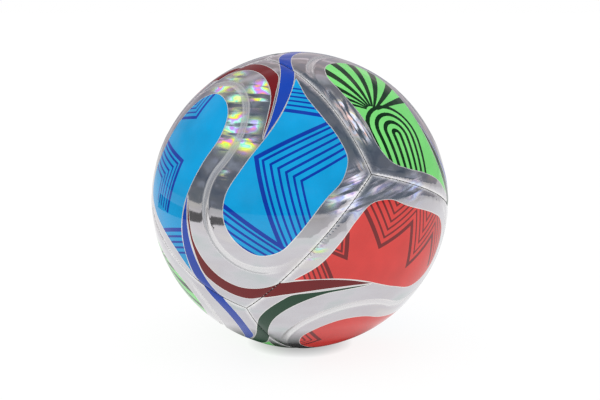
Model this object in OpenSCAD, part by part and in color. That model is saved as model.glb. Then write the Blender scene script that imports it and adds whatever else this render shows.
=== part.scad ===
// Machine-stitched football, size 5, with six curved square panels.
// The six panels sit on the ball like the faces of a cube. Each is a laminate of a
// printed foil skin, a foam layer and a woven backing, and neighbours are sewn
// together along twelve seams. A rubber bladder with a push-in needle valve fills the casing.

/* [Ball] */
// Radius of the inflated ball, averaged over its surface, in mm
ball_r = 110; // [100:1:115]
// How far the middle of each panel lies inside the ball's mean sphere, in mm
panel_flatness = 1; // [0.5:0.5:3]
// How far the panel corners stand outside the ball's mean sphere, in mm
corner_rise = 0.6; // [0.3:0.1:1.5]
// Turn of the ball about X, then Y, then Z as it rests, in degrees
ball_turn = [-37.3, -20.7, -121.2]; // [-180:0.1:180]

/* [Laminate] */
// Thickness of the printed foil skin
skin_t = 1.2; // [1:0.1:1.6]
// Thickness of the foam layer under the skin
foam_t = 2.2; // [1.5:0.1:3]
// Thickness of the woven backing under the foam
backing_t = 0.8; // [0.5:0.1:1.2]
// Wall of the bladder
bladder_t = 0.9; // [0.6:0.1:1.2]

/* [Debossed groove] */
// Angle from a panel's middle to the centre of each half of its S-shaped groove
groove_angle = 21.4; // [20:0.1:22.5]
// Width of the groove at the surface
groove_w = 5; // [2.5:0.1:6]
// Depth of the groove
groove_d = 0.7; // [0.5:0.1:0.9]

/* [Seams] */
// Gap between two panels' turned-in edges
seam_gap = 1; // [0.6:0.1:1.4]
// Width of the valley that the pulled-in edges leave along each seam
valley_w = 3.2; // [2.4:0.1:4]
// Depth of that valley
valley_d = 0.8; // [0.5:0.1:0.9]
// Diameter of the sewing thread
thread_d = 0.8; // [0.5:0.1:1]
// Depth of the stitches below the panel surface
stitch_depth = 2; // [1.8:0.1:2.6]
// Distance from one stitch to the next
stitch_pitch = 3.2; // [2.5:0.1:5]

/* [Valve] */
// Valve's direction from the middle of its panel: turn about the panel's upright axis
valve_turn = 24; // [20:1:26]
// Diameter of the valve neck where it shows in the panel
valve_d = 9; // [8:0.5:10]
// Clearance round the valve neck in the panel layers
valve_gap = 0.3; // [0.2:0.1:0.5]
// Diameter of the push-in valve core
core_d = 5.6; // [5:0.1:6]
// Length of the push-in valve core
core_l = 17; // [15:1:20]
// Diameter of the needle hole in the valve core
needle_d = 2.2; // [2.1:0.1:2.4]
// Depth of the needle hole
needle_l = 13; // [10:1:14]
// Diameter of the patch that bonds the valve to the bladder, and of the balance patch
patch_d = 36; // [30:1:40]
// Thickness of both patches
patch_t = 1.1; // [0.8:0.1:1.5]

/* [Hidden] */

// A panel is part of a sphere whose centre lies behind the ball's centre, because the
// panels are flatter than the ball. The radius and offset follow from the distances
// of the panel's middle and corners from the ball's centre.
middle_r = ball_r - panel_flatness;
corner_r = ball_r + corner_rise;
corner_cos = 1 / sqrt(3);
panel_offset = (corner_r * corner_r - middle_r * middle_r)
             / (2 * (middle_r - corner_r * corner_cos));
panel_r = middle_r + panel_offset;

// Along a seam the panels meet in a plane through the ball's centre.
seam_offset = panel_offset / sqrt(2);
seam_r = sqrt(panel_r * panel_r - seam_offset * seam_offset);
seam_half_angle = asin(corner_r * corner_cos / seam_r);
stitch_r = seam_r - stitch_depth;
stitch_step = stitch_pitch / stitch_r * 180 / PI;
stitch_count = floor(2 * (seam_half_angle - 1.5) / stitch_step);

// Radii of the panel sphere at each layer's outer face
foam_r = panel_r - skin_t;
backing_r = foam_r - foam_t;
bladder_r = backing_r - backing_t;
inner_r = bladder_r - bladder_t;

// Round section that leaves a groove of the stated width and depth
groove_r = (groove_w * groove_w / 4 + groove_d * groove_d) / (2 * groove_d);
groove_orbit = panel_r + groove_r - groove_d;

// The valve stands square to its panel, so its axis passes through the panel sphere's centre.
head_recess = 0.2;
head_r = panel_r - head_recess;
patch_foot_r = inner_r - patch_t;
body_foot_r = head_r - core_l - 2;

prints = [[0.08, 0.55, 0.82], [0.84, 0.30, 0.28], [0.45, 0.88, 0.48]];
foam_white = [0.93, 0.93, 0.90];
weave_grey = [0.80, 0.79, 0.75];
thread_white = [0.95, 0.95, 0.93];
rubber_black = [0.10, 0.10, 0.11];
rubber_amber = [0.72, 0.60, 0.40];

sphere_fn = 144;
fine_fn = 32;

// Turn a piece made round +X to its place: tone 0 blue, 1 red, 2 green; side 0 near, 1 far.
module at_panel(tone, side) {
    rotate(ball_turn) rotate(a = 120 * tone, v = [1, 1, 1]) rotate([0, 0, 180 * side]) children();
}

// The seams repeat by the same thirds of a turn, and by half turns about X, Y and Z.
module at_seam(third, half_turn) {
    rotate(ball_turn) rotate(a = 120 * third, v = [1, 1, 1]) rotate(half_turn) children();
}

// Wedge between the four seam planes of the panel round +X, less half the seam gap
module panel_region(size = 2 * ball_r) {
    apex = seam_gap / sqrt(2);
    intersection_for (turn = [0, 90])
        rotate([turn, 0, 0]) translate([apex, 0, -size]) rotate([0, 0, -45])
            cube([size, size, 2 * size]);
}

// Whole sphere that the panel round +X is a part of, with its pole in the panel's middle
module panel_sphere(r) {
    translate([-panel_offset, 0, 0]) rotate([180, -90, 0]) sphere(r = r, $fn = sphere_fn);
}

// One layer of a panel: the sphere's shell inside the four seam planes
module panel_layer(outer_r, layer_t) {
    intersection() {
        panel_region();
        difference() {
            panel_sphere(outer_r);
            panel_sphere(outer_r - layer_t);
        }
    }
}

// V-shaped channels along the panel's four edges, where the stitching pulls the skin in
module seam_valleys() {
    sweep = seam_half_angle + 4;
    for (turn = [0:90:270])
        rotate([turn, 0, 0]) rotate([0, 0, 45]) translate([-seam_offset, 0, 0])
            rotate([90, 0, 0]) rotate([0, 0, -sweep])
                rotate_extrude(angle = 2 * sweep, $fn = sphere_fn)
                    polygon([
                        [seam_r - valley_d, 0],
                        [seam_r + valley_d, valley_w],
                        [seam_r + valley_d, -valley_w]
                    ]);
}

// S-shaped groove: two half circles on the panel sphere that meet in its middle
module s_groove() {
    for (side = [0, 180])
        rotate([side, 0, 0]) translate([-panel_offset, 0, 0])
            rotate([0, 0, groove_angle]) rotate([0, 90, 0])
                translate([0, 0, groove_orbit * cos(groove_angle)])
                    rotate([0, 0, -90]) rotate_extrude(angle = 180, $fn = sphere_fn)
                        translate([groove_orbit * sin(groove_angle), 0])
                            circle(r = groove_r, $fn = fine_fn);
}

// Turn a piece made along +Z to the valve's axis on the panel round +X
module at_valve() {
    translate([-panel_offset, 0, 0]) rotate([0, 0, valve_turn]) rotate([0, 90, 0]) children();
}

// Hole for the valve neck through the panel layers
module valve_hole() {
    at_valve() translate([0, 0, bladder_r - 5])
        cylinder(h = panel_r - bladder_r + 10, d = valve_d + 2 * valve_gap, $fn = fine_fn);
}

// Printed foil skin
module skin(tone, side, with_valve = false) {
    color(prints[tone]) at_panel(tone, side) difference() {
        panel_layer(panel_r, skin_t);
        seam_valleys();
        s_groove();
        if (with_valve) valve_hole();
    }
}

// Foam under the skin
module foam(tone, side, with_valve = false) {
    color(foam_white) at_panel(tone, side) difference() {
        panel_layer(foam_r, foam_t);
        if (with_valve) valve_hole();
    }
}

// Woven backing under the foam
module backing(tone, side, with_valve = false) {
    color(weave_grey) at_panel(tone, side) difference() {
        panel_layer(backing_r, backing_t);
        if (with_valve) valve_hole();
    }
}

// The stitches of one seam, each a short bridge of thread between the two panel edges
module seam_thread(third, half_turn) {
    color(thread_white) at_seam(third, half_turn) rotate([0, 0, 45]) translate([-seam_offset, 0, 0])
        for (i = [0:stitch_count])
            rotate([0, (i - stitch_count / 2) * stitch_step, 0])
                translate([stitch_r, 0, 0]) rotate([90, 0, 0])
                    cylinder(h = seam_gap, d = thread_d, center = true, $fn = 16);
}

// Body that all six panel spheres of one layer enclose
module enclosed(layer_r) {
    intersection_for (i = [0:5])
        at_panel(i % 3, floor(i / 3)) panel_sphere(layer_r);
}

// Inflated bladder, pressed to the inside of the casing, with the hole its valve sits in
module bladder() {
    color(rubber_black) difference() {
        enclosed(bladder_r);
        enclosed(inner_r);
        at_panel(0, 1) at_valve() translate([0, 0, inner_r - 5])
            cylinder(h = 10, d = valve_d + 2 * valve_gap, $fn = fine_fn);
    }
}

// Moulded rubber valve: flush neck, long socket for the core, and the bonded patch
module valve_body() {
    color(rubber_amber) at_panel(0, 1) at_valve() difference() {
        union() {
            translate([0, 0, body_foot_r])
                cylinder(h = head_r - body_foot_r, d = valve_d, $fn = fine_fn);
            intersection() {
                difference() {
                    sphere(r = inner_r, $fn = sphere_fn);
                    sphere(r = patch_foot_r, $fn = sphere_fn);
                }
                cylinder(h = 2 * ball_r, d = patch_d, $fn = 64);
            }
        }
        translate([0, 0, head_r - core_l])
            cylinder(h = core_l + 1, d = core_d, $fn = fine_fn);
    }
}

// Push-in core with the hole that the inflation needle enters
module valve_core() {
    color(rubber_black) at_panel(0, 1) at_valve() difference() {
        translate([0, 0, head_r - core_l]) cylinder(h = core_l, d = core_d, $fn = fine_fn);
        translate([0, 0, head_r - needle_l]) cylinder(h = needle_l + 1, d = needle_d, $fn = fine_fn);
    }
}

// Rubber patch opposite the valve that balances the ball
module balance_patch() {
    color(rubber_amber) at_panel(0, 0) at_valve() intersection() {
        difference() {
            sphere(r = inner_r, $fn = sphere_fn);
            sphere(r = patch_foot_r - patch_t, $fn = sphere_fn);
        }
        cylinder(h = 2 * ball_r, d = patch_d, $fn = 64);
    }
}

skin(0, 0);  // skin_blue_front
skin(0, 1, with_valve = true);  // skin_blue_rear
skin(1, 0);  // skin_red_front
skin(1, 1);  // skin_red_rear
skin(2, 0);  // skin_green_upper
skin(2, 1);  // skin_green_lower
foam(0, 0);  // foam_blue_front
foam(0, 1, with_valve = true);  // foam_blue_rear
foam(1, 0);  // foam_red_front
foam(1, 1);  // foam_red_rear
foam(2, 0);  // foam_green_upper
foam(2, 1);  // foam_green_lower
backing(0, 0);  // backing_blue_front
backing(0, 1, with_valve = true);  // backing_blue_rear
backing(1, 0);  // backing_red_front
backing(1, 1);  // backing_red_rear
backing(2, 0);  // backing_green_upper
backing(2, 1);  // backing_green_lower
seam_thread(0, [0, 0, 0]);  // thread_blue_front_red_front
seam_thread(0, [180, 0, 0]);  // thread_blue_front_red_rear
seam_thread(0, [0, 180, 0]);  // thread_blue_rear_red_front
seam_thread(0, [0, 0, 180]);  // thread_blue_rear_red_rear
seam_thread(1, [0, 0, 0]);  // thread_red_front_green_upper
seam_thread(1, [180, 0, 0]);  // thread_red_front_green_lower
seam_thread(1, [0, 180, 0]);  // thread_red_rear_green_upper
seam_thread(1, [0, 0, 180]);  // thread_red_rear_green_lower
seam_thread(2, [0, 0, 0]);  // thread_green_upper_blue_front
seam_thread(2, [180, 0, 0]);  // thread_green_upper_blue_rear
seam_thread(2, [0, 180, 0]);  // thread_green_lower_blue_front
seam_thread(2, [0, 0, 180]);  // thread_green_lower_blue_rear
bladder();
valve_body();
valve_core();
balance_patch();
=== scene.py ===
"""A size 5 football of six stitched foil panels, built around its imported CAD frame."""

import math

import bpy
import numpy as np
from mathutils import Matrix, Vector
from mathutils.geometry import delaunay_2d_cdt


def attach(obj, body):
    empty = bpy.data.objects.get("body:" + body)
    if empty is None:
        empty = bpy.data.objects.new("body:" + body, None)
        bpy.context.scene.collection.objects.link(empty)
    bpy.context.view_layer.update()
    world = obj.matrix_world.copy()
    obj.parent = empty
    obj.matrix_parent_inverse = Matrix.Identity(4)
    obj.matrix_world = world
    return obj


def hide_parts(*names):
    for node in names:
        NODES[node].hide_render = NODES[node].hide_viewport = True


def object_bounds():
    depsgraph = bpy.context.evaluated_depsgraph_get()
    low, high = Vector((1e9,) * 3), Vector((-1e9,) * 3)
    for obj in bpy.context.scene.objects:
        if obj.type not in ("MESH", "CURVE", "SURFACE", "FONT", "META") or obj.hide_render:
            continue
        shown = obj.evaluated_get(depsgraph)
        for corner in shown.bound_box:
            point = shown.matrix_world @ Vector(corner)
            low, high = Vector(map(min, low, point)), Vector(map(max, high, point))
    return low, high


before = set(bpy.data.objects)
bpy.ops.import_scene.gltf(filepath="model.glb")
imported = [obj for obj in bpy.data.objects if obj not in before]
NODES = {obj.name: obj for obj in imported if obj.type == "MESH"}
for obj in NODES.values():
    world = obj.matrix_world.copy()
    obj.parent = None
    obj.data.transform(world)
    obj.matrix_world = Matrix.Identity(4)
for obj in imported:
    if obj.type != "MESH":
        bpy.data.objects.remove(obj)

CAD_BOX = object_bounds()
MM = 0.001

# ---------------------------------------------------------------- the ball's own sizes, in mm
BALL_R = 110.0            # mean radius
MIDDLE_R = BALL_R - 1.0   # radius at a panel's middle
CORNER_R = BALL_R + 0.6   # radius where three panels meet
BALL_TURN = (-37.3, -20.7, -121.2)   # degrees about x, then y, then z
GROOVE_ANGLE = 21.4       # angular radius of the groove's half circles, seen from the panel's sphere
GROOVE_HALF = 2.7         # half the groove's width
GROOVE_DEPTH = 0.75
DEEPEST = 1.12            # the skin's face never dips as far as the foam under it
STITCH_PITCH = 3.2
VALVE_TURN = 24.0         # degrees from the rear blue panel's middle to the valve
VALVE_HOLE_R = 4.8
EDGE = 0.3                # from the rim of a panel's face to the seam's middle plane
FOOT_EDGE = 0.12          # the same at the foot of the panel's side wall
WALL_DEPTH = 1.0          # depth of the side wall below the face
HOLE_DEPTH = 1.25         # depth of the wall of the valve's hole
BACK_DEPTH = 1.15         # the skin's plain back, below the panel's sphere
GRID = 1.6                # spacing of the mesh on open ground
GROOVE_STEP = 1.3         # spacing of the mesh along the groove
FINE = 0.64               # spacing of the mesh along the seams
RIM = 0.55                # width of the pale rim round each print
HALF_SIDE = BALL_R * math.pi / 4     # half a panel's side, measured as arc

# How the face rounds down to a seam, in a wide and a narrow step: depth, and how far inland it reaches.
WIDE_DEPTH, WIDE_REACH = 0.85, 7.5
NARROW_DEPTH, NARROW_REACH = 0.60, 1.1
# Sizes of the dimple at each stitch, of the quick and the slow puckers, and of the dip at a corner.
DIMPLE, PUCKER, SWAY, CORNER_DIP = 0.12, 0.08, 0.07, 0.3
SHOULDER = 0.10           # height of the raised line beside the groove
# Slow unevenness of the foil: wavelength and height.
UNEVEN = ((62, 0.05), (47, 0.05), (33, 0.03), (24, 0.015))

# A panel's face is part of a sphere of radius PANEL_R whose middle lies PANEL_SHIFT behind the ball's.
PANEL_SHIFT = (CORNER_R ** 2 - MIDDLE_R ** 2) / (2 * MIDDLE_R - 2 * CORNER_R / math.sqrt(3))
PANEL_R = MIDDLE_R + PANEL_SHIFT

TONES = ("blue", "red", "green")
PANELS = {    # number of the tone, and 1 for the panel on the far side
    "blue_front": (0, 0), "blue_rear": (0, 1),
    "red_front": (1, 0), "red_rear": (1, 1),
    "green_upper": (2, 0), "green_lower": (2, 1),
}


def turn(axis, degrees):
    """3 x 3 rotation about an axis."""
    x, y, z = np.array(axis, float) / np.linalg.norm(axis)
    c, s = math.cos(math.radians(degrees)), math.sin(math.radians(degrees))
    return np.array([
        [c + x * x * (1 - c), x * y * (1 - c) - z * s, x * z * (1 - c) + y * s],
        [y * x * (1 - c) + z * s, c + y * y * (1 - c), y * z * (1 - c) - x * s],
        [z * x * (1 - c) - y * s, z * y * (1 - c) + x * s, c + z * z * (1 - c)],
    ])


BALL = turn((0, 0, 1), BALL_TURN[2]) @ turn((0, 1, 0), BALL_TURN[1]) @ turn((1, 0, 0), BALL_TURN[0])


def panel_turn(tone, side):
    """Rotation from a panel's own frame, where its middle is on +x, to the ball's."""
    return BALL @ turn((1, 1, 1), 120 * tone) @ turn((0, 0, 1), 180 * side)


# ---------------------------------------------------------------- camera, floor and light
ELEVATION = math.radians(10)
DISTANCE = 0.853
LENS = 68.4

scene = bpy.context.scene
camera_data = bpy.data.cameras.new("camera")
camera_data.lens = LENS
camera_data.sensor_width = 36
camera = bpy.data.objects.new("camera", camera_data)
camera.location = (0, -DISTANCE * math.cos(ELEVATION), DISTANCE * math.sin(ELEVATION))
camera.rotation_euler = (math.pi / 2 - ELEVATION, 0, 0)
scene.collection.objects.link(camera)
scene.camera = camera
scene.view_settings.view_transform = "Standard"

FLOOR_Z = CAD_BOX[0][2]


# ---------------------------------------------------------------- panel surface
def ramp(x, low, high):
    """Smooth step from 0 at low to 1 at high."""
    t = np.clip((x - low) / (high - low), 0, 1)
    return t * t * (3 - 2 * t)


def directions(a, b):
    """Unit directions in the panel's frame of the arc coordinates a, b in mm."""
    d = np.stack([np.ones_like(a), np.tan(a / BALL_R), np.tan(b / BALL_R)], -1)
    return d / np.linalg.norm(d, axis=-1, keepdims=True)


def seam_distance(d):
    """Distance in mm to the seams at the panel's a sides and b sides."""
    root = math.sqrt(2)
    to_a = BALL_R * np.arcsin((d[:, 0] - np.abs(d[:, 1])) / root)
    to_b = BALL_R * np.arcsin((d[:, 0] - np.abs(d[:, 2])) / root)
    return to_a, to_b


def groove_distance(d):
    """Distance in mm to the middle line of the panel's S-shaped groove."""
    side = np.where(d[:, 2] < 0, 1.0, -1.0)
    groove = math.radians(GROOVE_ANGLE)
    middle = np.stack([
        np.full(len(d), math.cos(groove) * PANEL_R - PANEL_SHIFT),
        side * math.sin(groove) * PANEL_R,
        np.zeros(len(d)),
    ], -1)
    middle /= np.linalg.norm(middle, axis=1, keepdims=True)
    angle = np.arccos(np.clip((d * middle).sum(1), -1, 1))
    radius = math.acos(middle[0, 0])
    return np.abs(angle - radius) * BALL_R


def groove_fade(to_a):
    """How far the groove has run out towards the seam at its end: 0 at the seam, 1 inland."""
    return ramp(to_a, 2.0, 13.0)


def waves(x, lengths, seed):
    """A sum of sine waves of those lengths with seeded phases, about -1 to 1."""
    rng = np.random.default_rng(seed)
    total = np.zeros_like(x)
    for length in lengths:
        total += np.sin(2 * math.pi * x / length + rng.uniform(0, 2 * math.pi))
    return total / len(lengths)


def relief(a, b, tone):
    """Height of the skin above the panel's smooth sphere, in mm."""
    d = directions(a, b)
    to_a, to_b = seam_distance(d)
    h = np.zeros_like(a)

    g = groove_distance(d)
    bowl = np.clip(1 - (g / GROOVE_HALF) ** 2, 0, 1) ** 1.5
    shoulder = np.exp(-((g - GROOVE_HALF - 0.4) / 0.5) ** 2)
    h += groove_fade(to_a) * (-GROOVE_DEPTH * bowl + SHOULDER * shoulder)

    level = [np.ones_like(a), np.ones_like(a)]
    for distance, along, seed in ((to_a, b, 1), (to_b, a, 2)):
        side = np.sign(a if seed == 1 else b)
        stitch = 0.5 + 0.5 * np.cos(2 * math.pi * along / STITCH_PITCH)
        shift = 100 * side + 37 * tone
        pull = waves(along + shift, (3.3, 4.1, 5.6), seed)
        sway = waves(along + shift, (8.3, 12.7, 19.0), seed + 2)
        level[0] *= 1 - (1 - ramp(distance, -1.0, WIDE_REACH)) ** 2
        level[1] *= ramp(distance, -0.1, NARROW_REACH)
        h -= DIMPLE * stitch * np.exp(-((distance - 0.7) / 0.7) ** 2)
        h += PUCKER * pull * np.exp(-(distance / 2.4) ** 2) * ramp(distance, 0.2, 1.6)
        h += SWAY * sway * np.exp(-(distance / 7.0) ** 2)

    h -= WIDE_DEPTH * (1 - level[0]) + NARROW_DEPTH * (1 - level[1])
    corner = np.maximum(to_a, to_b)
    h -= CORNER_DIP * np.exp(-(corner / 3.5) ** 2)
    deep = np.clip(-h, 0, None)
    h += deep - deep / (1 + (deep / DEEPEST) ** 6) ** (1 / 6)

    rng = np.random.default_rng(11 + tone)
    for length, height in UNEVEN:
        way = rng.normal(size=3)
        way /= np.linalg.norm(way)
        h += height * np.sin(2 * math.pi * BALL_R * (d @ way) / length + rng.uniform(0, 6.3))
    return h


def sphere_reach(d):
    """How far the panel's smooth sphere lies from the ball's middle in those directions."""
    shift = PANEL_SHIFT
    return -shift * d[:, 0] + np.sqrt((shift * d[:, 0]) ** 2 - shift ** 2 + PANEL_R ** 2)


def surface(a, b, tone):
    """Points of the skin's outer face, in the panel's frame and in mm."""
    d = directions(a, b)
    points = d * sphere_reach(d)[:, None]
    outward = points + np.array([PANEL_SHIFT, 0, 0])
    outward /= np.linalg.norm(outward, axis=1, keepdims=True)
    return points + outward * relief(a, b, tone)[:, None]


def surface_normals(a, b, tone):
    """Unit normals of the skin's outer face."""
    step = 0.04
    along_a = surface(a + step, b, tone) - surface(a - step, b, tone)
    along_b = surface(a, b + step, tone) - surface(a, b - step, tone)
    n = np.cross(along_a, along_b)
    return n / np.linalg.norm(n, axis=1, keepdims=True)


# ---------------------------------------------------------------- print outlines
def arc_mm(points):
    """Points given as tangents (how part of a cube's face is measured) turned into arc mm."""
    return BALL_R * np.arctan(np.array(points, float))


def spline(points, step=1.6):
    """A smooth centripetal Catmull-Rom curve, with a point about every step mm."""
    p = np.array(points, float)
    p = np.vstack([2 * p[0] - p[1], p, 2 * p[-1] - p[-2]])
    out = []
    for i in range(1, len(p) - 2):
        p0, p1, p2, p3 = p[i - 1:i + 3]
        t1 = np.linalg.norm(p1 - p0) ** 0.5
        t2 = t1 + np.linalg.norm(p2 - p1) ** 0.5
        t3 = t2 + np.linalg.norm(p3 - p2) ** 0.5
        count = max(2, int(np.linalg.norm(p2 - p1) / step))
        t = np.linspace(t1, t2, count, endpoint=False)[:, None]
        a1 = (t1 - t) / t1 * p0 + t / t1 * p1
        a2 = (t2 - t) / (t2 - t1) * p1 + (t - t1) / (t2 - t1) * p2
        a3 = (t3 - t) / (t3 - t2) * p2 + (t - t2) / (t3 - t2) * p3
        b1 = (t2 - t) / t2 * a1 + t / t2 * a2
        b2 = (t3 - t) / (t3 - t1) * a2 + (t - t1) / (t3 - t1) * a3
        out.append((t2 - t) / (t2 - t1) * b1 + (t - t1) / (t2 - t1) * b2)
    out.append(p[-2][None])
    return np.vstack(out)


# One printed field (the other is its half turn), and the two bands that cross the panel.
FIELD = spline(arc_mm([
    (-0.27, 0.91), (-0.02, 0.825), (0.22, 0.815), (0.45, 0.825), (0.65, 0.785), (0.74, 0.63),
    (0.738, 0.40), (0.765, 0.03), (0.745, -0.155), (0.63, -0.275), (0.44, -0.298), (0.27, -0.24),
    (0.165, -0.11), (0.122, 0.10), (0.06, 0.40), (-0.03, 0.60), (-0.19, 0.815), (-0.27, 0.91),
]))

OWN_SWOOSH = np.vstack([
    spline(arc_mm([(0.08, 0.31), (0.009, 0.505), (-0.10, 0.69), (-0.25, 0.865), (-0.43, 1.02)])),
    spline(arc_mm([(-0.72, 1.02), (-0.42, 0.84), (-0.17, 0.63), (-0.02, 0.46), (0.08, 0.31)]))[:-1],
])

OTHER_SWOOSH = np.vstack([
    spline(arc_mm([
        (0.07, 0.31), (-0.035, 0.455), (-0.18, 0.61), (-0.38, 0.785), (-0.50, 0.815),
        (-0.64, 0.825), (-0.78, 0.81), (-0.90, 0.765), (-1.02, 0.66),
    ])),
    spline(arc_mm([
        (-1.02, 0.40), (-0.92, 0.525), (-0.83, 0.605), (-0.72, 0.665), (-0.55, 0.69),
        (-0.35, 0.655), (-0.17, 0.565), (-0.05, 0.45), (0.07, 0.31),
    ]))[:-1],
])


def grown(outline, by):
    """The closed outline moved outward by some mm, with blunt tips."""
    p = np.array(outline)
    if np.allclose(p[0], p[-1]):
        p = p[:-1]
    area = np.sum(p[:, 0] * np.roll(p[:, 1], -1) - p[:, 1] * np.roll(p[:, 0], -1))
    ahead, behind = np.roll(p, -1, 0) - p, p - np.roll(p, 1, 0)
    ahead /= np.linalg.norm(ahead, axis=1, keepdims=True)
    behind /= np.linalg.norm(behind, axis=1, keepdims=True)
    n = np.stack([(ahead + behind)[:, 1], -(ahead + behind)[:, 0]], -1)
    n /= np.maximum(np.linalg.norm(n, axis=1, keepdims=True), 1e-6)
    return p + n * by * (1 if area > 0 else -1)


def offset_line(points, by):
    """An open line of straight stretches moved sideways by some mm, with mitred bends."""
    p = np.array(points, float)
    ways = np.diff(p, axis=0)
    ways /= np.linalg.norm(ways, axis=1, keepdims=True)
    sides = np.stack([-ways[:, 1], ways[:, 0]], -1)
    out = [p[0] + sides[0] * by]
    for i in range(1, len(p) - 1):
        mitre = sides[i - 1] + sides[i]
        mitre /= max(mitre @ sides[i], 0.2)
        out.append(p[i] + mitre * by)
    out.append(p[-1] + sides[-1] * by)
    return np.array(out)


def band(points, width):
    """A closed outline of a line of that width."""
    left, right = offset_line(points, width / 2), offset_line(points, -width / 2)
    return np.vstack([left, right[::-1]])


def dense(outline, step=1.5):
    """The closed outline with extra points along its long sides, so that it follows the ball."""
    out = []
    for start, end in zip(outline, np.roll(outline, -1, 0)):
        count = max(1, math.ceil(np.linalg.norm(end - start) / step))
        out += [start + (end - start) * i / count for i in range(count)]
    return np.array(out)


def nest(points, pitch, count, thick, thin):
    """A thick line and thinner ones nested beside it."""
    lines = [band(points, thick)]
    for i in range(1, count + 1):
        lines.append(band(offset_line(points, (thick - thin) / 2 + i * pitch), thin))
    return lines


def blue_motif():
    """Nested chevrons on one field, smaller ones on the other, and sets of plain stripes."""
    large = nest([(70, -11.5), (15, 22), (32, 82)], -5.0, 6, 3.2, 1.8)
    large += nest([(14, -18.5), (70, -11.5), (80, -10.2)], -4.6, 4, 3.2, 1.8)
    large += nest([(-20, 43), (32, 84)], 4.4, 5, 3.0, 1.7)
    small = nest([(-78, -33), (-32, -22), (-22, -60)], -4.6, 5, 3.0, 1.7)
    small += nest([(-76, -10), (-53, 6), (-66, 40)], 4.4, 4, 2.8, 1.5)
    small += nest([(20, -43), (-32, -84)], 4.4, 4, 3.0, 1.7)
    return large, small


def red_motif():
    """Even nested zigzags along one side, small chevrons and stripes near the tip."""
    zigzag = [(62, 82), (35, 48), (60, 30), (31, 12), (58, -6), (36, -24)]
    large = nest(zigzag, 4.4, 6, 3.0, 1.5)
    large += nest([(34, 76), (15, 65), (10, 90)], -4.2, 2, 3.0, 1.6)
    large += nest([(6, 81), (-12, 52)], -4.2, 5, 3.0, 1.6)
    small = nest([(-80, 10), (-56, 12), (-52, 40)], 4.2, 4, 3.0, 1.6)
    small += nest([(-34, -76), (-15, -65), (-10, -90)], -4.2, 2, 3.0, 1.6)
    small += nest([(-6, -81), (12, -52)], -4.2, 5, 3.0, 1.6)
    return large, small


def green_motif():
    """A fan of widening rays and a nest of round arches, the same on both fields."""
    hub = np.array([58.0, 30.0])
    lines = []
    for angle in range(-160, -30, 16):
        way = np.array([math.cos(math.radians(angle)), math.sin(math.radians(angle))])
        side = np.array([-way[1], way[0]])
        near, far = hub + 5 * way, hub + 90 * way
        thin, wide = side * 0.8, side * 5
        lines.append(np.array([near + thin, near - thin, far - wide, far + wide]))
    middle = np.array([46.0, 50.0])
    leg = (0, 45)
    for radius in (3.5, 10.5, 17.5, 24.5):
        angles = np.radians(np.arange(0, -181, -12))
        arch = [middle + radius * np.array([math.cos(t), math.sin(t)]) for t in angles]
        arch = [arch[0] + leg] + arch + [arch[-1] + leg]
        lines.append(band(arch, 3.2))
    return lines, [-line for line in lines]


MOTIFS = (blue_motif(), red_motif(), green_motif())


# ---------------------------------------------------------------- panel meshes
def inside(points, outline):
    """Which points lie inside the closed outline."""
    result = np.zeros(len(points), bool)
    low, high = outline.min(0), outline.max(0)
    near = np.where(((points > low) & (points < high)).all(1))[0]
    x, y = points[near, 0], points[near, 1]
    odd = np.zeros(len(near), bool)
    for (x1, y1), (x2, y2) in zip(outline, np.roll(outline, -1, 0)):
        if y1 == y2:
            continue
        crosses = (y1 > y) != (y2 > y)
        odd ^= crosses & (x < (x2 - x1) * (y - y1) / (y2 - y1) + x1)
    result[near] = odd
    return result


def segments_distance(points, lines):
    """Distance of each point to the nearest of the closed outlines."""
    best = np.full(len(points), 1e9)
    for line in lines:
        low, high = line.min(0) - 2, line.max(0) + 2
        near = np.where(((points > low) & (points < high)).all(1))[0]
        p = points[near]
        found = best[near]
        for start, end in zip(line, np.roll(line, -1, 0)):
            way = end - start
            t = np.clip((p - start) @ way / max(way @ way, 1e-9), 0, 1)
            found = np.minimum(found, np.linalg.norm(p - start - t[:, None] * way, axis=1))
        best[near] = found
    return best


def seam_loop(distance, step):
    """A closed line that stays some mm inside the panel's seams."""
    corner = HALF_SIDE - distance * math.sqrt(1.5)
    count = int(2 * corner / step)
    along = np.linspace(-corner, corner, count, endpoint=False)
    across = HALF_SIDE - distance * np.sqrt(1 + np.tan(along / BALL_R) ** 2 / 2)
    return np.vstack([
        np.stack([across, along], -1), np.stack([-along, across], -1),
        np.stack([-across, -along], -1), np.stack([along, -across], -1),
    ])


# Lines of mesh points, in mm from the groove's middle line and from the seams.
GROOVE_ROWS = (0.6, 1.3, 1.9, 2.35, 2.7, 3.3, 3.9)
SEAM_ROWS = (0.5, 0.75, 1.05, 1.4, 1.9, 2.5, 3.3, 4.5)
ROW_MARGIN = 0.7          # the open grid keeps this far outside those lines
LINE_MARGIN = 0.35        # and all of them this far from the edges of the print


def groove_rows():
    """Lines along the groove at several distances from its middle, for one half of the S."""
    groove = math.radians(GROOVE_ANGLE)
    middle = np.array([math.cos(groove) * PANEL_R - PANEL_SHIFT, math.sin(groove) * PANEL_R, 0])
    radius = math.atan2(middle[1], middle[0])
    middle /= np.linalg.norm(middle)
    side = np.array([-middle[1], middle[0], 0])
    down = np.array([0, 0, -1])
    rows = []
    for off in [-x for x in reversed(GROOVE_ROWS)] + [0] + list(GROOVE_ROWS):
        r = radius + off / BALL_R
        t = np.arange(0, math.pi, GROOVE_STEP / (BALL_R * math.sin(radius)))[:, None]
        d = middle * math.cos(r) + math.sin(r) * (side * np.cos(t) + down * np.sin(t))
        rows.append(BALL_R * np.arctan(d[:, 1:] / d[:, :1]))
    return rows


# What a face of the panel shows, in the order of the panel's material slots.
FOIL, FIELD_ZONE, LINE_ZONE, OWN_ZONE, OTHER_ZONE, RIM_ZONE, EDGE_ZONE = range(7)


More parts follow.
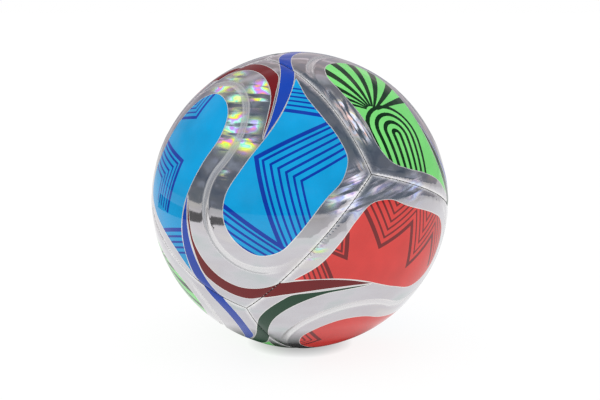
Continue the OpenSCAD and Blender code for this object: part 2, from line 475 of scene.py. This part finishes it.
def valve_circle(radius=VALVE_HOLE_R, count=48):
    """The valve's hole in arc coordinates."""
    way = math.radians(VALVE_TURN)
    axis = np.array([math.cos(way), math.sin(way), 0])
    across = np.array([-axis[1], axis[0], 0])
    t = np.linspace(0, 2 * math.pi, count, endpoint=False)[:, None]
    ring = axis * math.sqrt(PANEL_R ** 2 - radius ** 2)
    ring = ring + radius * (across * np.cos(t) + np.array([0, 0, 1]) * np.sin(t))
    ring[:, 0] -= PANEL_SHIFT
    return BALL_R * np.arctan(ring[:, 1:] / ring[:, :1])


def triangulate(points, loops):
    """Constrained Delaunay triangles of loose points and closed loops: (points, triangles)."""
    verts = [Vector(p) for p in points]
    edges = []
    for loop in loops:
        first = len(verts)
        verts += [Vector(p) for p in loop]
        count = len(loop)
        edges += [(first + i, first + (i + 1) % count) for i in range(count)]
    found = delaunay_2d_cdt(verts, edges, [], 0, 1e-4)
    where = np.array([tuple(v) for v in found[0]])
    faces = np.array([f for f in found[2] if len(f) == 3])
    p, q, r = (where[faces[:, i]] for i in range(3))
    area = (q - p)[:, 0] * (r - p)[:, 1] - (q - p)[:, 1] * (r - p)[:, 0]
    faces[area < 0] = faces[area < 0][:, ::-1]
    return where, faces


def room(points):
    """Distance in mm from points in arc coordinates to the nearest seam."""
    return np.minimum(*seam_distance(directions(points[:, 0], points[:, 1])))


def panel_plan(tone):
    """The panel's print and relief lines cut into one flat mesh: points, triangles, zones."""
    shapes = [FIELD[:-1], OWN_SWOOSH, OTHER_SWOOSH]
    rims = [grown(s, RIM) for s in shapes]
    large, small = [[dense(line) for line in lines] for lines in MOTIFS[tone]]
    loops = large + small
    for outline in shapes + rims:
        loops += [outline, -outline]
    cut = seam_loop(EDGE, FINE)
    close_rows = [seam_loop(s, FINE) for s in SEAM_ROWS]
    grooves = [row * s for row in groove_rows() for s in (1, -1)]

    axis = np.arange(-HALF_SIDE, HALF_SIDE, GRID)
    a, b = np.meshgrid(axis, axis)
    a = a + (np.arange(len(axis)) % 2)[:, None] * GRID / 2
    grid = np.stack([a.ravel(), b.ravel()], -1)
    d = directions(grid[:, 0], grid[:, 1])
    clear_of_groove = groove_distance(d) > GROOVE_ROWS[-1] + ROW_MARGIN
    grid = grid[(room(grid) > 5.4) & clear_of_groove]
    loose = np.vstack([grid] + grooves)
    loose = loose[room(loose) > SEAM_ROWS[-1] + ROW_MARGIN]
    loose = np.vstack([loose] + close_rows)
    loose = loose[segments_distance(loose, loops) > LINE_MARGIN]
    if tone == 0:
        rings = [valve_circle(VALVE_HOLE_R + more) for more in (0, 0.4, 0.9)]
        loose = loose[segments_distance(loose, rings) > 0.3]
        loops = loops + rings
    where, faces = triangulate(loose, loops + [cut])
    middle = where[faces].mean(1)
    keep = room(middle) > EDGE - 0.01
    faces, middle = faces[keep], middle[keep]

    def both(outline):
        """Which triangles lie inside the outline or its half turn."""
        return inside(middle, outline) | inside(middle, -outline)

    zones = np.full(len(faces), FOIL)
    for rim in rims:
        zones[both(rim)] = RIM_ZONE
    zones[both(shapes[2])] = OTHER_ZONE
    zones[both(shapes[1])] = OWN_ZONE
    for field, lines in ((shapes[0], large), (-shapes[0], small)):
        field = inside(middle, field)
        zones[field] = FIELD_ZONE
        for line in lines:
            zones[field & inside(middle, line)] = LINE_ZONE
    return where, faces, zones


def boundary_loops(faces):
    """The open edges of a set of triangles, as ordered loops of point numbers."""
    sides = np.vstack([faces[:, [0, 1]], faces[:, [1, 2]], faces[:, [2, 0]]])
    there = {(int(p), int(q)) for p, q in sides}
    following = {p: q for p, q in there if (q, p) not in there}
    loops = []
    while following:
        start, here = following.popitem()
        loop = [start]
        while here != start:
            loop.append(here)
            here = following.pop(here)
        loops.append(loop)
    return sorted(loops, key=len, reverse=True)


def panel_back(rim, loops, hole, first_rim, first_back):
    """The skin's plain back: points, triangles, and the numbers its points have in the panel.

    The back's edge meets the foot of the side wall, so those points keep the wall's numbers.
    """
    coarse = np.arange(-80, 81, 10.0)
    a, b = np.meshgrid(coarse, coarse)
    inner = np.stack([a.ravel(), b.ravel()], -1)
    edges, first = [], 0
    for loop in loops:
        edges.append(rim[first:first + len(loop)])
        first += len(loop)
    inner = inner[segments_distance(inner, edges) > 3]
    flat, triangles = triangulate(inner, edges)
    if hole:
        triangles = triangles[~inside(flat[triangles].mean(1), valve_circle())]
    d = directions(flat[:, 0], flat[:, 1])
    number = np.arange(len(flat)) + first_back
    for i, p in enumerate(rim):
        number[np.argmin(np.abs(flat - p).sum(1))] = first_rim + i
    return d * (sphere_reach(d) - BACK_DEPTH)[:, None], triangles, number


def set_face_normals(mesh, polygons, top_normals):
    """Smooth normals on the face's corners, which come first, and flat ones on walls and back."""
    flat = np.zeros(len(polygons) * 3, np.float32)
    mesh.polygons.foreach_get("normal", flat)
    sizes = np.array([len(f) for f in polygons])
    normals = np.repeat(flat.reshape(-1, 3), sizes, 0)
    normals[:len(top_normals)] = top_normals
    mesh.normals_split_custom_set([tuple(n) for n in normals])


def panel_mesh(name, plan, tone, matrix, hole):
    """A closed skin panel: relief outside, walls down into the seams, a plain inner face."""
    where, faces, zones = plan
    if hole:
        keep = ~inside(where[faces].mean(1), valve_circle())
        faces, zones = faces[keep], zones[keep]
    used = np.unique(faces)
    renumber = np.full(len(where), -1)
    renumber[used] = np.arange(len(used))
    where, faces = where[used], renumber[faces]
    top = surface(where[:, 0], where[:, 1], tone)
    normals = surface_normals(where[:, 0], where[:, 1], tone)

    loops = boundary_loops(faces)
    ring = np.array([i for loop in loops for i in loop])
    rim = where[ring]
    is_hole = np.arange(len(ring)) >= len(loops[0])
    spread = np.where(is_hole, 1.0, (HALF_SIDE - FOOT_EDGE) / (HALF_SIDE - EDGE))[:, None]
    low_rim = rim * spread
    sinks = np.where(is_hole, HOLE_DEPTH, WALL_DEPTH)
    low = surface(low_rim[:, 0], low_rim[:, 1], tone)
    inward = low - np.array([-PANEL_SHIFT, 0, 0])
    low = low - inward / np.linalg.norm(inward, axis=1, keepdims=True) * sinks[:, None]

    shell, under, number = panel_back(rim, loops, hole, len(top), len(top) + len(ring))

    count = len(top)
    walls = []
    first = 0
    for loop in loops:
        size = len(loop)
        for i in range(size):
            j = (i + 1) % size
            walls.append((loop[j], loop[i], count + first + i, count + first + j))
        first += size
    points = np.vstack([top, low, shell])
    polygons = [tuple(int(i) for i in f) for f in faces]
    polygons += [tuple(int(i) for i in w) for w in walls]
    polygons += [tuple(int(number[i]) for i in f[::-1]) for f in under]

    used = sorted({i for f in polygons for i in f})
    place = {old: new for new, old in enumerate(used)}
    polygons = [tuple(place[i] for i in f) for f in polygons]
    points = points[used] @ matrix.T * MM
    mesh = bpy.data.meshes.new(name)
    mesh.from_pydata([tuple(p) for p in points], [], polygons)
    mesh.polygons.foreach_set("use_smooth", np.ones(len(polygons), bool))
    zone_of = np.concatenate([zones, np.full(len(walls) + len(under), EDGE_ZONE)])
    mesh.polygons.foreach_set("material_index", zone_of.astype(np.int32))
    mesh.update()

    set_face_normals(mesh, polygons, (normals @ matrix.T)[faces.ravel()])
    return mesh


# ---------------------------------------------------------------- materials
def new_material(name):
    """A material with its node tree, its Principled shader and the object's coordinates."""
    m = bpy.data.materials.new(name)
    m.use_nodes = True
    nodes, links = m.node_tree.nodes, m.node_tree.links
    shader = nodes["Principled BSDF"]
    where = nodes.new("ShaderNodeTexCoord").outputs["Object"]
    return m, nodes, links, shader, where


def noise(nodes, links, where, scale, detail=2.0, stretch=None):
    """A noise texture's factor; stretch scales the coordinates along each axis first."""
    if stretch:
        mapping = nodes.new("ShaderNodeMapping")
        mapping.inputs["Scale"].default_value = stretch
        links.new(where, mapping.inputs["Vector"])
        where = mapping.outputs["Vector"]
    n = nodes.new("ShaderNodeTexNoise")
    n.inputs["Scale"].default_value = scale
    n.inputs["Detail"].default_value = detail
    links.new(where, n.inputs["Vector"])
    return n.outputs["Fac"]


def colours(nodes, links, factor, stops):
    """A colour ramp; stops are (place, grey or (r, g, b))."""
    r = nodes.new("ShaderNodeValToRGB")
    r.color_ramp.elements[0].position = stops[0][0]
    r.color_ramp.elements[1].position = stops[-1][0]
    for place, _ in stops[1:-1]:
        r.color_ramp.elements.new(place)
    for element, (_, value) in zip(r.color_ramp.elements, stops):
        value = (value,) * 3 if isinstance(value, (int, float)) else value
        element.color = (*value, 1)
    links.new(factor, r.inputs["Fac"])
    return r.outputs["Color"]


def bump(nodes, links, height, depth, shader):
    """Bump of that depth in metres on the shader's normal."""
    b = nodes.new("ShaderNodeBump")
    b.inputs["Strength"].default_value = 1.0
    b.inputs["Distance"].default_value = depth
    links.new(height, b.inputs["Height"])
    links.new(b.outputs["Normal"], shader.inputs["Normal"])


def mixed(nodes, links, factor, first, second):
    """Colour or number mix; a socket is linked, anything else is a constant."""
    m = nodes.new("ShaderNodeMix")
    m.data_type = "RGBA"
    links.new(factor, m.inputs["Factor"])
    for place, value in ((6, first), (7, second)):
        if isinstance(value, bpy.types.NodeSocket):
            links.new(value, m.inputs[place])
        else:
            value = (value,) * 3 if isinstance(value, (int, float)) else value
            m.inputs[place].default_value = (*value, 1)
    return m.outputs[2]


def multiplied(nodes, links, first, second):
    """The product of two colour sockets."""
    m = nodes.new("ShaderNodeMix")
    m.data_type = "RGBA"
    m.blend_type = "MULTIPLY"
    m.inputs["Factor"].default_value = 1
    links.new(first, m.inputs[6])
    links.new(second, m.inputs[7])
    return m.outputs[2]


def arithmetic(nodes, links, operation, first, second):
    """A math node's output; each operand is a socket or a number."""
    n = nodes.new("ShaderNodeMath")
    n.operation = operation
    for socket, value in zip(n.inputs, (first, second)):
        if isinstance(value, bpy.types.NodeSocket):
            links.new(value, socket)
        else:
            socket.default_value = value
    return n.outputs[0]


def linear(r, g, b):
    """A linear colour from 0-255 display values."""
    def channel(c):
        return c / 255 / 12.92 if c <= 10 else ((c / 255 + 0.055) / 1.055) ** 2.4

    return channel(r), channel(g), channel(b)


def ink(name, colour, metal=0.0, rough=0.3):
    """Printed ink under a clear film: faint cloudiness, fine grain and a slight orange peel."""
    m, nodes, links, shader, where = new_material(name)
    base = linear(*colour)
    cloud = noise(nodes, links, where, 45, 3)
    darker = tuple(c * 0.93 for c in base)
    lighter = tuple(min(1, c * 1.06) for c in base)
    tone = colours(nodes, links, cloud, [(0.35, darker), (0.65, lighter)])
    grain = colours(nodes, links, noise(nodes, links, where, 2600, 1), [(0.4, 0.95), (0.6, 1.0)])
    links.new(multiplied(nodes, links, tone, grain), shader.inputs["Base Color"])
    shader.inputs["Metallic"].default_value = metal
    wear = noise(nodes, links, where, 120, 2)
    wear = colours(nodes, links, wear, [(0.3, rough), (0.7, rough + 0.08)])
    links.new(wear, shader.inputs["Roughness"])
    shader.inputs["Coat Weight"].default_value = 0.75
    shader.inputs["Coat Roughness"].default_value = 0.04
    shader.inputs["Specular IOR Level"].default_value = 0.0
    bump(nodes, links, noise(nodes, links, where, 420, 2), 0.00001, shader)
    return m


# The foil's painted glints, reflections painted into its colour: slant of the streaks in degrees, their
# fineness, how fast the hue runs, how soft the streaks' edges are, and the colours the hue runs
# through.
PAINTED_GLINT_KINDS = {
    "painted_rainbow_glint": (0, 56, 34, 0.05, (
        (0.85, 0.24, 0.60), (0.95, 0.58, 0.08), (0.95, 0.95, 0.08), (0.52, 0.95, 0.10),
        (0.85, 0.95, 0.40), (0.20, 0.88, 0.55), (0.62, 0.84, 0.98), (0.48, 0.30, 0.98),
    )),
    "painted_pale_glint": (-57, 150, 110, 0.07, (
        (0.96, 0.94, 0.90), (0.98, 0.86, 0.42), (0.90, 0.92, 0.95), (0.95, 0.58, 0.48),
        (0.68, 0.78, 1.0),
    )),
    "painted_blue_glint": (18, 70, 60, 0.07, (
        (0.88, 0.92, 1.0), (0.42, 0.48, 1.0), (0.62, 0.76, 1.0), (0.16, 0.16, 0.50),
        (0.92, 0.75, 0.95),
    )),
}


def foil_material():
    """Mirror-like film: faintly tinted silver, satin grooves painted lighter as a highlight, painted
    highlights along the seams, and patches of rainbow streaks that are painted glints.
    """
    m, nodes, links, shader, where = new_material("foil")

    def attribute(name):
        a = nodes.new("ShaderNodeAttribute")
        a.attribute_name = name
        return a.outputs["Fac"]

    groove, painted_seam_highlight = attribute("groove"), attribute("painted_seam_highlight")
    tint = noise(nodes, links, where, 30, 3, (0.7, 0.7, 2.2))
    base = colours(nodes, links, tint, [
        (0.30, (0.50, 0.55, 0.55)), (0.45, (0.59, 0.58, 0.61)),
        (0.58, (0.56, 0.54, 0.57)), (0.72, (0.62, 0.60, 0.59)),
    ])
    # Painted highlights: the groove is lighter, less metallic and rougher, and the foil beside each
    # seam pale and rough.
    base = mixed(nodes, links, groove, base, (0.78, 0.77, 0.77))
    base = mixed(nodes, links, painted_seam_highlight, base, (0.90, 0.89, 0.88))
    metal = mixed(nodes, links, painted_seam_highlight, mixed(nodes, links, groove, 1.0, 0.60), 0.25)
    smooth = colours(nodes, links, noise(nodes, links, where, 24, 2), [(0.35, 0.05), (0.7, 0.09)])
    rough = mixed(nodes, links, painted_seam_highlight, mixed(nodes, links, groove, smooth, 0.22), 0.30)

    def times(first, second):
        return arithmetic(nodes, links, "MULTIPLY", first, second)

    clear = arithmetic(nodes, links, "SUBTRACT", 1.0, times(groove, 0.8))
    # Each kind paints patches of rainbow streaks into the foil's colour as painted glints, kept out of
    # the groove.
    for kind, (slant, fineness, pitch, soft, palette) in PAINTED_GLINT_KINDS.items():
        mapping = nodes.new("ShaderNodeMapping")
        mapping.inputs["Rotation"].default_value = (0, math.radians(slant), 0)
        links.new(where, mapping.inputs["Vector"])
        turned = mapping.outputs["Vector"]
        split = nodes.new("ShaderNodeSeparateXYZ")
        links.new(turned, split.inputs[0])
        wander = times(noise(nodes, links, turned, 60, 2, (1.0, 1.0, 2.0)), 3.2)
        place = arithmetic(nodes, links, "ADD", times(split.outputs["Z"], pitch), wander)
        hue = arithmetic(nodes, links, "FRACT", place, 0.0)
        stops = [(i / len(palette), colour) for i, colour in enumerate(palette)]
        stops.append((1.0, palette[0]))
        lines = noise(nodes, links, turned, fineness, 3, (0.5, 0.5, 4.5))
        lines = colours(nodes, links, lines, [(0.47 - soft, 0.0), (0.47 + soft, 1.0)])
        strength = times(times(lines, attribute(kind)), clear)
        painted_glint_mask = arithmetic(nodes, links, "MINIMUM", strength, 1.0)
        base = mixed(nodes, links, painted_glint_mask, base, colours(nodes, links, hue, stops))
        metal = mixed(nodes, links, painted_glint_mask, metal, 0.10)
        rough = mixed(nodes, links, painted_glint_mask, rough, 0.35)
    links.new(base, shader.inputs["Base Color"])
    links.new(metal, shader.inputs["Metallic"])
    links.new(rough, shader.inputs["Roughness"])
    bump(nodes, links, noise(nodes, links, where, 500, 2), 0.000005, shader)
    return m


def plain_material(name, colour, rough, scale, depth, spread=0.12):
    """A matt material with colour variation and a bumpy grain."""
    m, nodes, links, shader, where = new_material(name)
    base = linear(*colour)
    darker = tuple(c * (1 - spread) for c in base)
    lighter = tuple(min(1, c * (1 + spread)) for c in base)
    grain = noise(nodes, links, where, scale, 3)
    tone = colours(nodes, links, grain, [(0.3, darker), (0.7, lighter)])
    links.new(tone, shader.inputs["Base Color"])
    shader.inputs["Roughness"].default_value = rough
    bump(nodes, links, grain, depth, shader)
    return m


FOIL_MATERIAL = foil_material()
RIM_MATERIAL = ink("print_rim", (226, 224, 222), 0.6, 0.25)
EDGE_MATERIAL = plain_material("cut_edge", (60, 60, 64), 0.7, 900, 0.00002)
# Each tone's field, its lines and its band.
INKS = {
    "blue": (ink("sky_blue_ink", (13, 147, 203)), ink("blue_line_ink", (8, 52, 152)),
             ink("deep_blue_ink", (22, 62, 160))),
    "red": (ink("red_ink", (204, 61, 57)), ink("red_line_ink", (112, 32, 34)),
            ink("deep_red_ink", (104, 14, 18))),
    "green": (ink("green_ink", (117, 209, 114)), ink("green_line_ink", (6, 42, 12)),
              ink("deep_green_ink", (22, 60, 40))),
}
NEXT_TONE = {"blue": "red", "red": "green", "green": "blue"}


# ---------------------------------------------------------------- build the panels
def add(name, mesh):
    """An object of that mesh in the scene."""
    obj = bpy.data.objects.new(name, mesh)
    scene.collection.objects.link(obj)
    return obj


# Where glints are painted on the foil: direction from the ball's middle, size in degrees, and strength.
PAINTED_GLINTS = {
    "painted_rainbow_glint": [
        ((-0.41, -0.31, 0.86), 4.0, 0.8), ((-0.49, -0.35, 0.80), 4.5, 1.2),
        ((-0.25, -0.53, 0.81), 3.6, 1.6), ((-0.24, -0.62, 0.75), 3.2, 1.5),
        ((-0.40, -0.54, 0.74), 3.4, 1.5), ((-0.40, -0.67, 0.63), 3.4, 1.6),
        ((-0.44, -0.73, 0.52), 4.0, 1.7), ((-0.28, -0.75, 0.60), 2.6, 1.2),
        ((-0.32, -0.81, 0.49), 3.2, 1.5), ((-0.46, -0.83, 0.31), 1.6, 0.9),
        ((0.19, -0.97, 0.17), 2.4, 0.7), ((0.12, -0.98, -0.13), 2.0, 0.8),
        ((0.07, -0.98, -0.18), 1.6, 0.6),
    ],
    "painted_pale_glint": [
        ((0.26, -0.66, 0.71), 2.6, 1.1), ((0.31, -0.70, 0.64), 2.6, 1.2),
        ((0.36, -0.74, 0.57), 3.0, 1.3), ((0.40, -0.76, 0.52), 2.2, 0.7),
        ((0.17, -0.61, 0.78), 2.0, 0.5), ((0.37, -0.86, 0.36), 2.2, 0.5),
    ],
    "painted_blue_glint": [
        ((0.33, -0.90, 0.27), 3.6, 1.3), ((0.29, -0.94, 0.18), 3.4, 1.2),
        ((0.22, -0.96, 0.13), 2.6, 0.9), ((0.34, -0.92, 0.10), 3.0, 0.7),
        ((0.72, -0.66, 0.20), 3.6, 0.8), ((0.45, -0.86, 0.22), 3.0, 0.6),
        ((0.52, -0.82, 0.22), 3.4, 0.4), ((0.61, -0.77, 0.19), 3.4, 0.4),
        ((0.70, -0.70, 0.15), 3.4, 0.35),
    ],
}
# Glints are painted on the unseen side in the same way, at places scattered along a spiral.
SPIRAL = 40
for i in range(SPIRAL):
    z = 0.95 - 1.5 * i / SPIRAL
    t = 2.4 * i
    way = (math.sqrt(1 - z * z) * math.cos(t), math.sqrt(1 - z * z) * math.sin(t), z)
    if way[1] > 0.1:
        PAINTED_GLINTS[tuple(PAINTED_GLINT_KINDS)[i % 3]].append((way, 5.0, 1.3))


def paint(mesh, name, values):
    """A point attribute with those values."""
    attribute = mesh.attributes.new(name, "FLOAT", "POINT")
    attribute.data.foreach_set("value", values.astype(np.float32))


def paint_foil(mesh, matrix):
    """Point attributes for the foil: its painted glints, its groove with painted highlight lines, and
    painted highlights along its seams.
    """
    co = np.zeros(len(mesh.vertices) * 3, np.float32)
    mesh.vertices.foreach_get("co", co)
    d = co.reshape(-1, 3).astype(float)
    d /= np.linalg.norm(d, axis=1, keepdims=True)
    for kind, places in PAINTED_GLINTS.items():
        total = np.zeros(len(d))
        for way, size, strength in places:
            way = np.array(way) / np.linalg.norm(way)
            angle = np.degrees(np.arccos(np.clip(d @ way, -1, 1)))
            total += strength * np.exp(-(angle / size) ** 2)
        paint(mesh, kind, np.clip(total, 0, 1.6))
    local = d @ matrix
    to_a, to_b = seam_distance(local)
    g = groove_distance(local)
    # The groove has a satin finish and is painted lighter as a highlight, with painted bright lines
    # along its sides.
    groove_band_satin_and_painted_light = 0.55 * np.exp(-(g / 2.6) ** 8)
    painted_groove_edge_highlight = 0.45 * np.exp(-((g - 2.2) / 0.55) ** 2)
    paint(mesh, "groove", (groove_band_satin_and_painted_light + painted_groove_edge_highlight) * groove_fade(to_a))
    # A pale, rough band along each seam is a painted highlight; its strength varies along the seam.
    to_seam = np.minimum(to_a, to_b)
    patchy = 0.75 + 0.25 * waves((d @ np.array([1.0, 0.7, 1.3])) * BALL_R, (5.0, 9.0, 23.0), 5)
    paint(mesh, "painted_seam_highlight", patchy * np.exp(-(to_seam / 1.5) ** 2))


for tone, colour in enumerate(TONES):
    plan = panel_plan(tone)
    for name, (own_tone, side) in PANELS.items():
        if own_tone != tone:
            continue
        matrix = panel_turn(tone, side)
        mesh = panel_mesh("panel_" + name, plan, tone, matrix, name == "blue_rear")
        field, line, deep = INKS[colour]
        other = INKS[NEXT_TONE[colour]][2]
        for m in (FOIL_MATERIAL, field, line, deep, other, RIM_MATERIAL, EDGE_MATERIAL):
            mesh.materials.append(m)
        paint_foil(mesh, matrix)
        panel = add("panel_" + name, mesh)
        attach(panel, "root")
        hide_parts("skin_" + name)

# ---------------------------------------------------------------- stitched seams
THREAD_MATERIAL = plain_material("waxed_thread", (236, 233, 226), 0.55, 2600, 0.00004)
SEAM_HALF_ANGLE = 33.4    # degrees along the seam's arc from its middle to where the thread ends
END_GAP = 2.4             # the last stitch keeps this far from the seam's end
FOLD_STEP = 2.4           # spacing of the mesh along the folded edge
FOLD = ((2.6, -0.55), (2.0, 0.0), (2.6, 0.55), (3.0, 0.0))    # its section: depth and place across
# One stitch, in mm: place along the seam, depth below the panels' corner line, place across, radius.
STITCH_PATH = (
    (-0.50, 2.6, -0.50, 0.22), (-0.40, 1.95, -0.40, 0.27), (-0.2, 1.62, -0.2, 0.30),
    (0.2, 1.62, 0.2, 0.30), (0.40, 1.95, 0.40, 0.27), (0.50, 2.6, 0.50, 0.22),
)


def tube(points, radii, sides=8):
    """Points and faces of a closed tube through the points."""
    p = np.array(points, float)
    way = np.gradient(p, axis=0)
    way /= np.linalg.norm(way, axis=1, keepdims=True)
    helper = np.array([0.0, 0.0, 1.0]) if abs(way[0][2]) < 0.9 else np.array([1.0, 0, 0])
    verts, faces = [], []
    for centre, w, r in zip(p, way, radii):
        x = np.cross(w, helper)
        x /= np.linalg.norm(x)
        y = np.cross(w, x)
        for k in range(sides):
            t = 2 * math.pi * k / sides
            verts.append(centre + r * (x * math.cos(t) + y * math.sin(t)))
    for i in range(len(p) - 1):
        for k in range(sides):
            j = (k + 1) % sides
            here, after = i * sides, (i + 1) * sides
            faces.append((here + k, here + j, after + j, after + k))
    faces.append(tuple(range(sides))[::-1])
    faces.append(tuple((len(p) - 1) * sides + k for k in range(sides)))
    return verts, faces


def seam_mesh(name, one, two):
    """The stitches that bridge one seam, and the folded edge of the backing below them."""
    n1, n2 = one[:, 0], two[:, 0]
    middle = (n1 + n2) / math.sqrt(2)
    across = (n1 - n2) / math.sqrt(2)
    along = np.cross(middle, across)
    seam_shift = PANEL_SHIFT / math.sqrt(2)
    seam_r = math.sqrt(PANEL_R ** 2 - seam_shift ** 2)

    def at(mm, sink, side):
        """A point mm along the seam, sink mm below the panels' corner line, side mm across it."""
        t = mm / seam_r
        way = middle * math.cos(t) + along * math.sin(t)
        return -middle * seam_shift + way * (seam_r - sink) + across * side

    half = math.radians(SEAM_HALF_ANGLE) * seam_r
    verts, faces = [], []

    def join(v, f):
        """Add points and faces to the seam's mesh."""
        first = len(verts)
        verts.extend(v)
        faces.extend(tuple(first + i for i in face) for face in f)

    count = int((half - END_GAP) / STITCH_PITCH)
    for k in range(-count, count + 1):
        mm = k * STITCH_PITCH
        points = [at(mm + ahead, sink, side) for ahead, sink, side, _ in STITCH_PATH]
        join(*tube(points, [radius for _, _, _, radius in STITCH_PATH]))
    steps = int(2 * half / FOLD_STEP)
    ribbon, quads = [], []
    for i in range(steps + 1):
        mm = -half + 2 * half * i / steps
        ribbon += [at(mm, sink, side) for sink, side in FOLD]
    for i in range(steps):
        for k in range(4):
            j = (k + 1) % 4
            quads.append((4 * i + k, 4 * i + j, 4 * i + 4 + j, 4 * i + 4 + k))
    quads.append((3, 2, 1, 0))
    quads.append(tuple(4 * steps + k for k in range(4)))
    join(ribbon, quads)
    mesh = bpy.data.meshes.new(name)
    mesh.from_pydata([tuple(v * MM) for v in verts], [], faces)
    mesh.polygons.foreach_set("use_smooth", np.ones(len(faces), bool))
    mesh.update()
    return mesh


for node in NODES:
    if not node.startswith("thread_"):
        continue
    words = node.split("_")
    one, two = "_".join(words[1:3]), "_".join(words[3:5])
    name = node.replace("thread", "seam")
    mesh = seam_mesh(name, panel_turn(*PANELS[one]), panel_turn(*PANELS[two]))
    mesh.materials.append(THREAD_MATERIAL)
    seam = add(name, mesh)
    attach(seam, "root")
    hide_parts(node)

# ---------------------------------------------------------------- CAD nodes shown as they are
RUBBER = plain_material("valve_rubber", (28, 28, 30), 0.5, 1500, 0.00002)
CORE = plain_material("core_rubber", (205, 200, 190), 0.45, 1500, 0.00002)
BLADDER = plain_material("bladder_rubber", (24, 24, 26), 0.5, 300, 0.0001)
FOAM = plain_material("foam", (232, 228, 214), 0.9, 1200, 0.0002)
WEAVE = plain_material("weave", (222, 220, 214), 0.9, 1800, 0.0002)
for node, obj in NODES.items():
    kind = node.split("_")[0]
    m = {"foam": FOAM, "backing": WEAVE, "bladder": BLADDER, "balance": BLADDER}.get(kind)
    m = {"valve_body": RUBBER, "valve_core": CORE}.get(node, m)
    if m:
        obj.data.materials.clear()
        obj.data.materials.append(m)

# ---------------------------------------------------------------- floor and light
FLOOR_HALF = 20.0
CARD_LIFT = 0.001


def glowing(name, colour, glow):
    """A plain matt studio surface with its own light, so that shadows on it stay pale.

    Its glow is cut right under the ball, a painted contact shadow that reflections see wider, and in
    reflections it also dims towards the distance as painted shade.
    """
    m = bpy.data.materials.new(name)
    m.use_nodes = True
    shader = m.node_tree.nodes["Principled BSDF"]
    shader.inputs["Base Color"].default_value = (colour, colour, colour, 1)
    shader.inputs["Roughness"].default_value = 0.9
    shader.inputs["Specular IOR Level"].default_value = 0.0
    shader.inputs["Emission Strength"].default_value = glow
    nodes, links = m.node_tree.nodes, m.node_tree.links
    reach = nodes.new("ShaderNodeVectorMath")
    reach.operation = "LENGTH"
    links.new(nodes.new("ShaderNodeTexCoord").outputs["Object"], reach.inputs[0])
    span = 3.0    # distance in m at the end of the colour ramps
    reach = arithmetic(nodes, links, "DIVIDE", reach.outputs["Value"], span)

    def ring(radius):
        """The place on the ramp of a ring of this radius round the contact point."""
        return math.hypot(FLOOR_Z, radius) / span

    # Painted shadow: no glow right under the ball; reflections see a wider dark spot and a dimmer far
    # floor.
    plain = colours(nodes, links, reach, [(ring(0), 0.0), (ring(0.026), 1.0)])
    reflected_glow_painted_shade = colours(nodes, links, reach, [
        (ring(0.045), 0.0), (ring(0.057), 1.0), (ring(0.5), 1.0), (ring(2.4), 0.62),
    ])
    path = nodes.new("ShaderNodeLightPath").outputs["Is Glossy Ray"]
    links.new(mixed(nodes, links, path, plain, reflected_glow_painted_shade), shader.inputs["Emission Color"])
    return m


floor_mesh = bpy.data.meshes.new("floor")
corners = [(-1, -1), (1, -1), (1, 1), (-1, 1)]
floor_points = [(x * FLOOR_HALF, y * FLOOR_HALF, FLOOR_Z) for x, y in corners]
floor_mesh.from_pydata(floor_points, [], [(0, 1, 2, 3)])
floor_mesh.materials.append(glowing("floor", 0.12, 0.88))
floor = add("floor", floor_mesh)

# Darker cards lie on the floor, seen only in reflections, where they paint dark strips of shade: angles
# in degrees, reach in m, shade.
CARDS = {"card_left": (-144, -220, 0.72, 1.5, 0.05), "card_front": (-94, -58, 0.46, 2.4, 0.22)}
for name, (first, last, near, far, shade) in CARDS.items():
    card_mesh = bpy.data.meshes.new(name)
    card_points, card_faces = [], []
    for i, degrees in enumerate(np.linspace(first, last, 13)):
        t = math.radians(degrees)
        for reach in (near, far):
            card_points.append((reach * math.cos(t), reach * math.sin(t), FLOOR_Z + CARD_LIFT))
        if i:
            card_faces.append((2 * i - 2, 2 * i - 1, 2 * i + 1, 2 * i))
    card_mesh.from_pydata(card_points, [], card_faces)
    card_mesh.materials.append(glowing(name, shade, shade * 2))
    card = add(name, card_mesh)
    for hidden in ("visible_camera", "visible_diffuse", "visible_shadow"):
        setattr(card, hidden, False)

# The room is white to everything but reflections, which see it grey and clouded.
world = bpy.data.worlds.new("studio")
scene.world = world
world.use_nodes = True
nodes, links = world.node_tree.nodes, world.node_tree.links
background = nodes["Background"]
where = nodes.new("ShaderNodeTexCoord").outputs["Generated"]
split = nodes.new("ShaderNodeSeparateXYZ")
links.new(where, split.inputs[0])
room_grey = colours(nodes, links, split.outputs["Y"], [
    (0.0, (0.19, 0.225, 0.26)), (0.36, (0.26, 0.28, 0.30)), (0.58, (0.39, 0.375, 0.38)),
    (0.80, (0.50, 0.47, 0.48)), (1.0, (0.60, 0.57, 0.59)),
])
clouds = colours(nodes, links, noise(nodes, links, where, 2.2, 3, (1.0, 1.0, 2.5)), [
    (0.34, (0.50, 0.56, 0.66)), (0.46, (0.85, 0.88, 0.95)),
    (0.56, (1.05, 1.0, 1.0)), (0.68, (1.9, 1.85, 1.95)),
])
clouded = multiplied(nodes, links, room_grey, clouds)
mirror_ray = nodes.new("ShaderNodeLightPath").outputs["Is Glossy Ray"]
seen = mixed(nodes, links, mirror_ray, (1.0, 1.0, 1.0), clouded)
links.new(seen, background.inputs["Color"])
background.inputs["Strength"].default_value = 1.0

sun_data = bpy.data.lights.new("soft_key", "SUN")
sun_data.energy = 0.9
sun_data.angle = math.radians(100)
sun = bpy.data.objects.new("soft_key", sun_data)
sun.rotation_euler = Vector((0.1, 0.9, -1.2)).to_track_quat("-Z", "Y").to_euler()
sun.visible_glossy = False
scene.collection.objects.link(sun)
